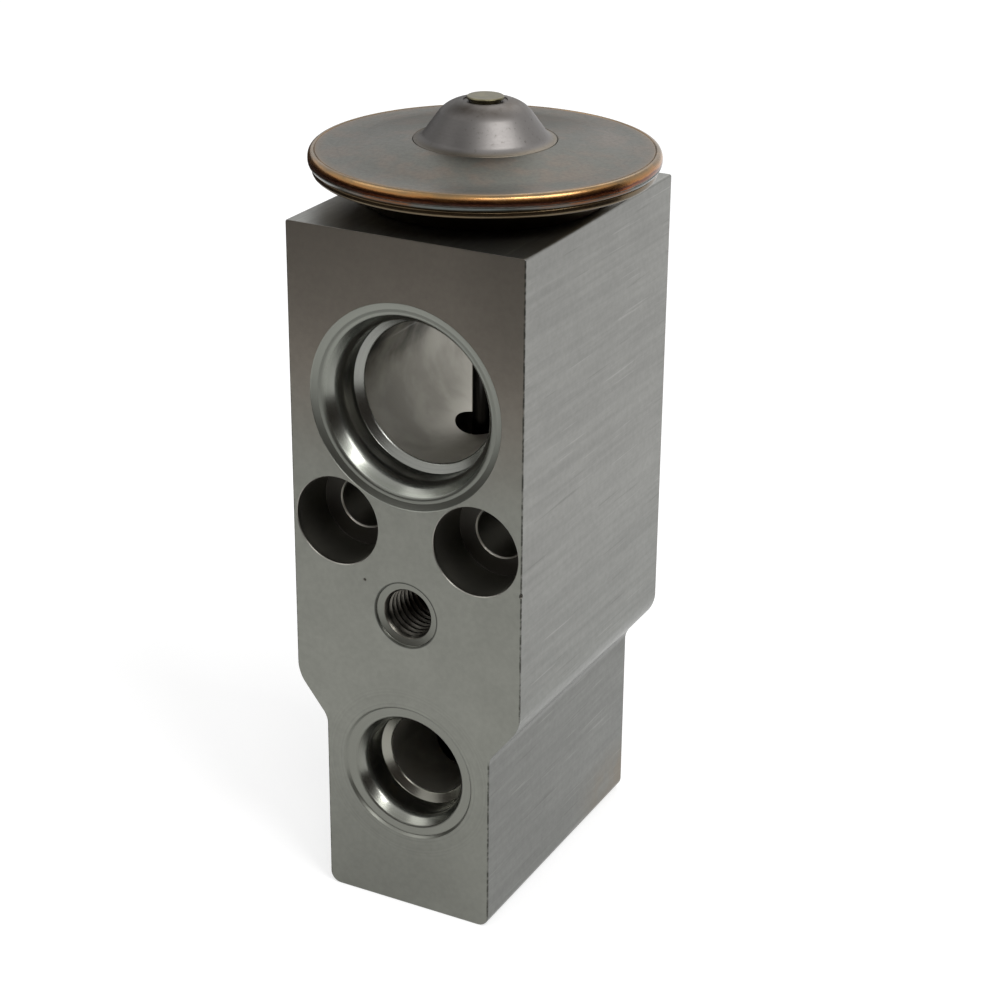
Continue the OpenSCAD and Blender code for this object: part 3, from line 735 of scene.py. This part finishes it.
def makeBlock():
    block = addObject("block_body", blockBar(blockShape), [finishes["blockSkin"]])
    cutters = [portCutter(name, shape) for name, shape in portShapes.items()]
    cutters += [boltCutter(side, boltShape) for side in (-1, 1)]
    cutters += studCutters(studShape)
    cutters += valveBoreCutters(boreShape)
    cutters += [headBoreCutter(headBoreShape)]
    cutters += [dentCutter(name, dent) for name, dent in dents.items()]
    carve(block, cutters)
    finish(block, "valve_body", ["valve_block"])


makeBlock()
print("block made")


# The head: a dished base and a cover with a raised crown, welded to one rim

headLook = {
    "sheet": (80, 80, 72),
    "sheetWarm": (92, 83, 72),
    "crown": (115, 112, 110),
    "crownBurnt": (76, 69, 62),
    "crownFoot": (104, 95, 80),
    "speck": (66, 62, 54),
    "rimWarm": (98, 86, 72),
    "bandGrey": (84, 88, 86),
    "roughness": 0.34,
    "crownRoughness": 0.44,
    "bump": 0.02,
    "bendLine": {"radius": 14.55, "width": 0.14, "colour": (70, 66, 58)},
    # radii in millimetres
    "rimRise": (15.6, 16.8),
    "weldEdge": (16.5, 16.95),
    "weldGloss": (16.6, 16.9),
    "crownEdge": (7.2, 7.0),
    "crownFootRise": (6.3, 6.9),
    "burntRise": (4.8, 3.3),
    # heights in millimetres
    "weldTop": (78.2, 77.9),
    "heatRise": (76.1, 78.6),
    "bandLow": (76.7, 76.9),
    "bandHigh": (77.7, 77.3),
    # the crown is darker towards the left of the photo: over x, and y by its lean
    "crownShade": {"across": (0.8, -3.2), "lean": 0.5, "strength": 0.55},
}

# Heat colours of the rim, from the lip of the base up to the cover's edge
heatColours = [
    (0.00, (92, 82, 66)),
    (0.16, (112, 94, 70)),
    (0.28, (70, 60, 50)),
    (0.44, (112, 76, 52)),
    (0.58, (150, 86, 50)),
    (0.70, (92, 58, 50)),
    (0.82, (168, 116, 68)),
    (0.92, (150, 116, 76)),
    (1.00, (108, 94, 74)),
]

baseShape = [(6.6, 66.4), (8, 66.4), (8, 73.4), (12, 73.4, 0.5), (14.5, 76.1, 0.5), (17.1, 76.1, 0.25),
             (17.05, 76.72, 0.12), (16.85, 76.8), (17.14, 76.83), (17.38, 77.02, 0.3), (17.453, 77.25),
             (14.1, 77.25), (11.4, 74.55), (6.6, 74.55)]

coverShape = {
    "outside": [(1.2, 83.01), (2.15, 83.01), (2.2, 83.13), (3.728, 83.13, 3.0), (6.471, 79.355, 1.4),
                (7.068, 79.25), (7.12, 79.15), (7.21, 79.25), (14.5, 78.4, 18), (16.74, 78.4),
                (16.81, 78.31), (16.9, 78.42, 0.05), (17.5, 78.45, 0.8), (17.482, 77.37)],
    "inside": [(14.5, 77.37), (6.889, 78.235), (5.882, 78.413, 2.5), (3.204, 82.1, 1.97), (1.2, 82.1)],
}


def headMetal(look):
    material, tree = newMaterial("headSheet")
    point = partPoint(tree)
    x, y, z = axisParts(tree, point)
    radius = distance(tree, x, y)
    patches = grain(tree, point, 0.35, 4)
    wide = grain(tree, point, 0.11, 2, 0.5)
    speck = grain(tree, point, 2.6, 3)
    fine = grain(tree, point, 11.0, 2)
    rings = stripes(tree, radius, 5.0, 3)

    worn = fade(tree, patches, 0.40, 0.64)
    sheet = blendColour(tree, worn, tone(*look["sheet"]), tone(*look["sheetWarm"]))
    sheet = dim(tree, fade(tree, speck, 0.35, 0.65, 0, 0.15), sheet)
    # A thin darker line along the cover's rounded bend at this radius
    bendLine = look["bendLine"]
    offset = calc(tree, "ABSOLUTE", calc(tree, "SUBTRACT", radius, bendLine["radius"]))
    line = times(tree, fade(tree, offset, bendLine["width"], 0.0), fade(tree, wide, 0.35, 0.65, 0.3, 0.9))
    sheet = blendColour(tree, line, sheet, tone(*bendLine["colour"]))
    sheet = blendColour(tree, fade(tree, radius, *look["rimRise"], 0, 0.8), sheet, tone(*look["rimWarm"]))

    burnt = times(tree, fade(tree, radius, *look["burntRise"]), fade(tree, patches, 0.32, 0.6, 0.5, 1.0))
    crown = blendColour(tree, burnt, tone(*look["crown"]), tone(*look["crownBurnt"]))
    crownFoot = fade(tree, radius, *look["crownFootRise"], 0, 0.8)
    crown = blendColour(tree, crownFoot, crown, tone(*look["crownFoot"]))
    shade = look["crownShade"]
    across = calc(tree, "ADD", x, times(tree, y, shade["lean"]))
    crown = dim(tree, fade(tree, across, *shade["across"], 0, shade["strength"]), crown)
    colour = blendColour(tree, fade(tree, radius, *look["crownEdge"]), sheet, crown)
    colour = blendColour(tree, fade(tree, speck, 0.60, 0.74, 0, 0.5), colour, tone(*look["speck"]))

    wander = times(tree, calc(tree, "SUBTRACT", patches, 0.5), 0.7)
    heat = colourRamp(tree, fade(tree, calc(tree, "ADD", z, wander), *look["heatRise"]), heatColours)
    band = times(tree, fade(tree, z, *look["bandLow"]), fade(tree, z, *look["bandHigh"]),
                 fade(tree, wide, 0.42, 0.56))
    heat = blendColour(tree, band, heat, tone(*look["bandGrey"]))
    edge = calc(tree, "MAXIMUM", fade(tree, radius, *look["weldEdge"]), fade(tree, z, *look["weldTop"]))
    colour = blendColour(tree, edge, colour, heat)

    smooth = fade(tree, radius, *look["crownEdge"], look["roughness"], look["crownRoughness"])
    rough = calc(tree, "ADD", calc(tree, "SUBTRACT", smooth, 0.06), times(tree, speck, 0.12))
    rough = calc(tree, "SUBTRACT", rough, times(tree, fade(tree, radius, *look["weldGloss"]), 0.1))
    height = calc(tree, "ADD", times(tree, rings, 0.4), times(tree, patches, 0.8))
    height = calc(tree, "ADD", height, times(tree, fine, 0.2))
    metalShader(tree, colour, rough, height, look["bump"])
    return material


def makeHead():
    skin = headMetal(headLook)
    base = addObject("head_base_shell", turned(baseShape, 144, closed=True), [skin])
    finish(base, "valve_body", ["head_base"], sharp=40)
    coverLine = coverShape["outside"] + coverShape["inside"]
    cover = addObject("head_cover_shell", turned(coverLine, 144, closed=True), [skin])
    finish(cover, "valve_body", ["head_cover"], sharp=40)


makeHead()
print("head made")


# The adjusting screw: hollow hexagon, thread, seal groove and spigot

screwShape = {
    "low": 1.3, "radius": 5.95, "threadTop": 4.3, "land": 5.1, "groove": 7.1, "grooveHeight": 1.6,
    "grooveRadius": 3.7, "top": 9.4, "spigot": 2.85, "spigotTop": 10.9, "chamfer": 0.4,
    "hexagon": 6.0, "hexagonDepth": 3.0, "pitch": 1.0, "threadDepth": 0.52, "toothWide": 0.47,
    "toothNarrow": 0.11,
}

brassLook = {"bare": (190, 160, 92), "dull": (150, 118, 62), "roughness": 0.3}


def makeScrew(shape):
    low, radius, chamfer, land = shape["low"], shape["radius"], shape["chamfer"], shape["land"]
    top, groove = shape["top"], shape["groove"]
    threadTop, grooveTop = shape["threadTop"], groove + shape["grooveHeight"]
    bm = turned([(0, low), (radius - chamfer, low), (radius, low + chamfer),
                 (radius, threadTop - chamfer), (radius - chamfer, threadTop),
                 (land, threadTop, 0.1), (land, groove, 0.06),
                 (shape["grooveRadius"], groove, 0.1), (shape["grooveRadius"], grooveTop, 0.1),
                 (land, grooveTop, 0.06), (land, top, 0.15), (shape["spigot"], top, 0.1),
                 (shape["spigot"], shape["spigotTop"], 0.4), (0, shape["spigotTop"])], steps=96)
    brass = cloudedMetal("screwBrass", brassLook, 0.6)
    screw = addObject("hexagon_screw", bm, [brass])
    thread = toothHelix(radius + 0.12, radius - shape["threadDepth"], shape["pitch"], low - 0.6,
                        threadTop + 0.6, wide=shape["toothWide"], narrow=shape["toothNarrow"], steps=72)
    socket = bmesh.new()
    corner = shape["hexagon"] / 2 / math.cos(math.radians(30))
    depth = shape["hexagonDepth"] + 1
    bmesh.ops.create_cone(socket, cap_ends=True, segments=6, radius1=corner * mm, radius2=corner * mm,
                          depth=depth * mm)
    bmesh.ops.translate(socket, verts=socket.verts, vec=(0, 0, (low - 1 + depth / 2) * mm))
    carve(screw, [addObject("cut_thread", thread, [brass]), addObject("cut_socket", socket, [brass])])
    finish(screw, "screw", ["adjusting_screw"])


makeScrew(screwShape)


# The spring: one wire, cut at its middle coil into two halves

springShape = {"wire": 0.95, "radius": 3.6, "turns": 5.0, "closed": 0.8, "low": 9.895, "high": 16.25}
springLook = {"bare": (150, 150, 150), "dull": (112, 112, 110), "roughness": 0.25}


def wireHalf(shape, upper):
    wire, closed = shape["wire"], shape["closed"]
    closedRise = closed * wire * 1.03
    middle = (shape["low"] + shape["high"]) / 2
    openTurns = shape["turns"] / 2 - closed
    openRise = middle - shape["low"] - closedRise
    stages = [(closed, closedRise), (openTurns, openRise)]
    start, turnedSoFar = shape["low"], 0.0
    if upper:
        stages.reverse()
        start, turnedSoFar = middle, shape["turns"] / 2
    bm = bmesh.new()
    bmesh.ops.create_circle(bm, segments=16, radius=wire / 2 * mm)
    around = Matrix.Rotation(turnedSoFar * math.tau, 4, "Z")
    out = Matrix.Translation((shape["radius"] * mm, 0, start * mm))
    placed(bm, around @ out @ Matrix.Rotation(math.radians(90), 4, "X"))
    ring = bm.verts[:] + bm.edges[:]
    for turns, rise in stages:
        steps = round(turns * 48)
        ring = bmesh.ops.spin(bm, geom=ring, cent=(0, 0, 0), axis=(0, 0, 1), angle=turns * math.tau,
                              steps=steps, dvec=(0, 0, rise * mm / steps))["geom_last"]
    bmesh.ops.holes_fill(bm, edges=[edge for edge in bm.edges if edge.is_boundary], sides=16)
    bmesh.ops.recalc_face_normals(bm, faces=bm.faces)
    return bm


def makeSpring(shape):
    steel = cloudedMetal("springWire", springLook, 1.2)
    for name, upper in (("spring_lower_half", False), ("spring_upper_half", True)):
        half = addObject(name, wireHalf(shape, upper), [steel])
        if upper:
            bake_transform(half)
        else:
            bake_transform(half)
        finish(half, None, ["valve_spring"])


makeSpring(springShape)
print("screw and spring made")


# Finishes of the pieces that keep their own solids

# bare and dull are painted shade; edge is a painted reflection along the outline
pinLook = {"bare": (54, 52, 50), "dull": (38, 37, 36), "edge": (236, 232, 224), "roughness": 0.22}


# Painted shade: the pin is dark for the dark of its bore, and a painted reflection of the bright room runs
# along its outline
def pinWithPaintedShade(look):
    material, tree = newMaterial("pinSteel")
    along = grain(tree, partPoint(tree, stretch=(3, 3, 0.2)), 1.0, 3)
    colour = blendColour(tree, fade(tree, along, 0.35, 0.65), tone(*look["dull"]), tone(*look["bare"]))
    outline = addNode(tree, "LayerWeight", {"Blend": 0.5}).outputs["Facing"]
    colour = blendColour(tree, fade(tree, outline, 0.62, 0.85), colour, tone(*look["edge"]))
    metalShader(tree, colour, look["roughness"], along, 0.002)
    return material


plainLooks = {
    "plugSteel": {"bare": (112, 107, 84), "dull": (92, 87, 68), "roughness": 0.36},
    "sheetSteel": {"bare": (150, 148, 142), "dull": (120, 118, 112), "roughness": 0.3},
    "discAluminium": {"bare": (170, 170, 168), "dull": (146, 146, 142), "roughness": 0.38},
    "ballSteel": {"bare": (186, 186, 184), "dull": (170, 170, 168), "roughness": 0.1},
    "holderBrass": brassLook,
    "rubber": {"bare": (30, 30, 31), "dull": (22, 22, 23), "roughness": 0.55, "metallic": 0.0},
}

nodeFinishes = {
    "seal_plug": "plugSteel",
    "push_pin": "pinSteel",
    "diaphragm": "sheetSteel",
    "stopper_disc": "discAluminium",
    "seal_retainer": "sheetSteel",
    "damper_ring": "sheetSteel",
    "valve_ball": "ballSteel",
    "ball_holder": "holderBrass",
    "head_seal": "rubber",
    "pin_seal": "rubber",
    "screw_seal": "rubber",
}

plainFinishes = {name: cloudedMetal(name, look, 0.8, 0.01) for name, look in plainLooks.items()}
plainFinishes["pinSteel"] = pinWithPaintedShade(pinLook)
for nodeName, finishName in nodeFinishes.items():
    for place in frame["nodes"][nodeName].material_slots:
        place.material = plainFinishes[finishName]
print("carried-over pieces finished")
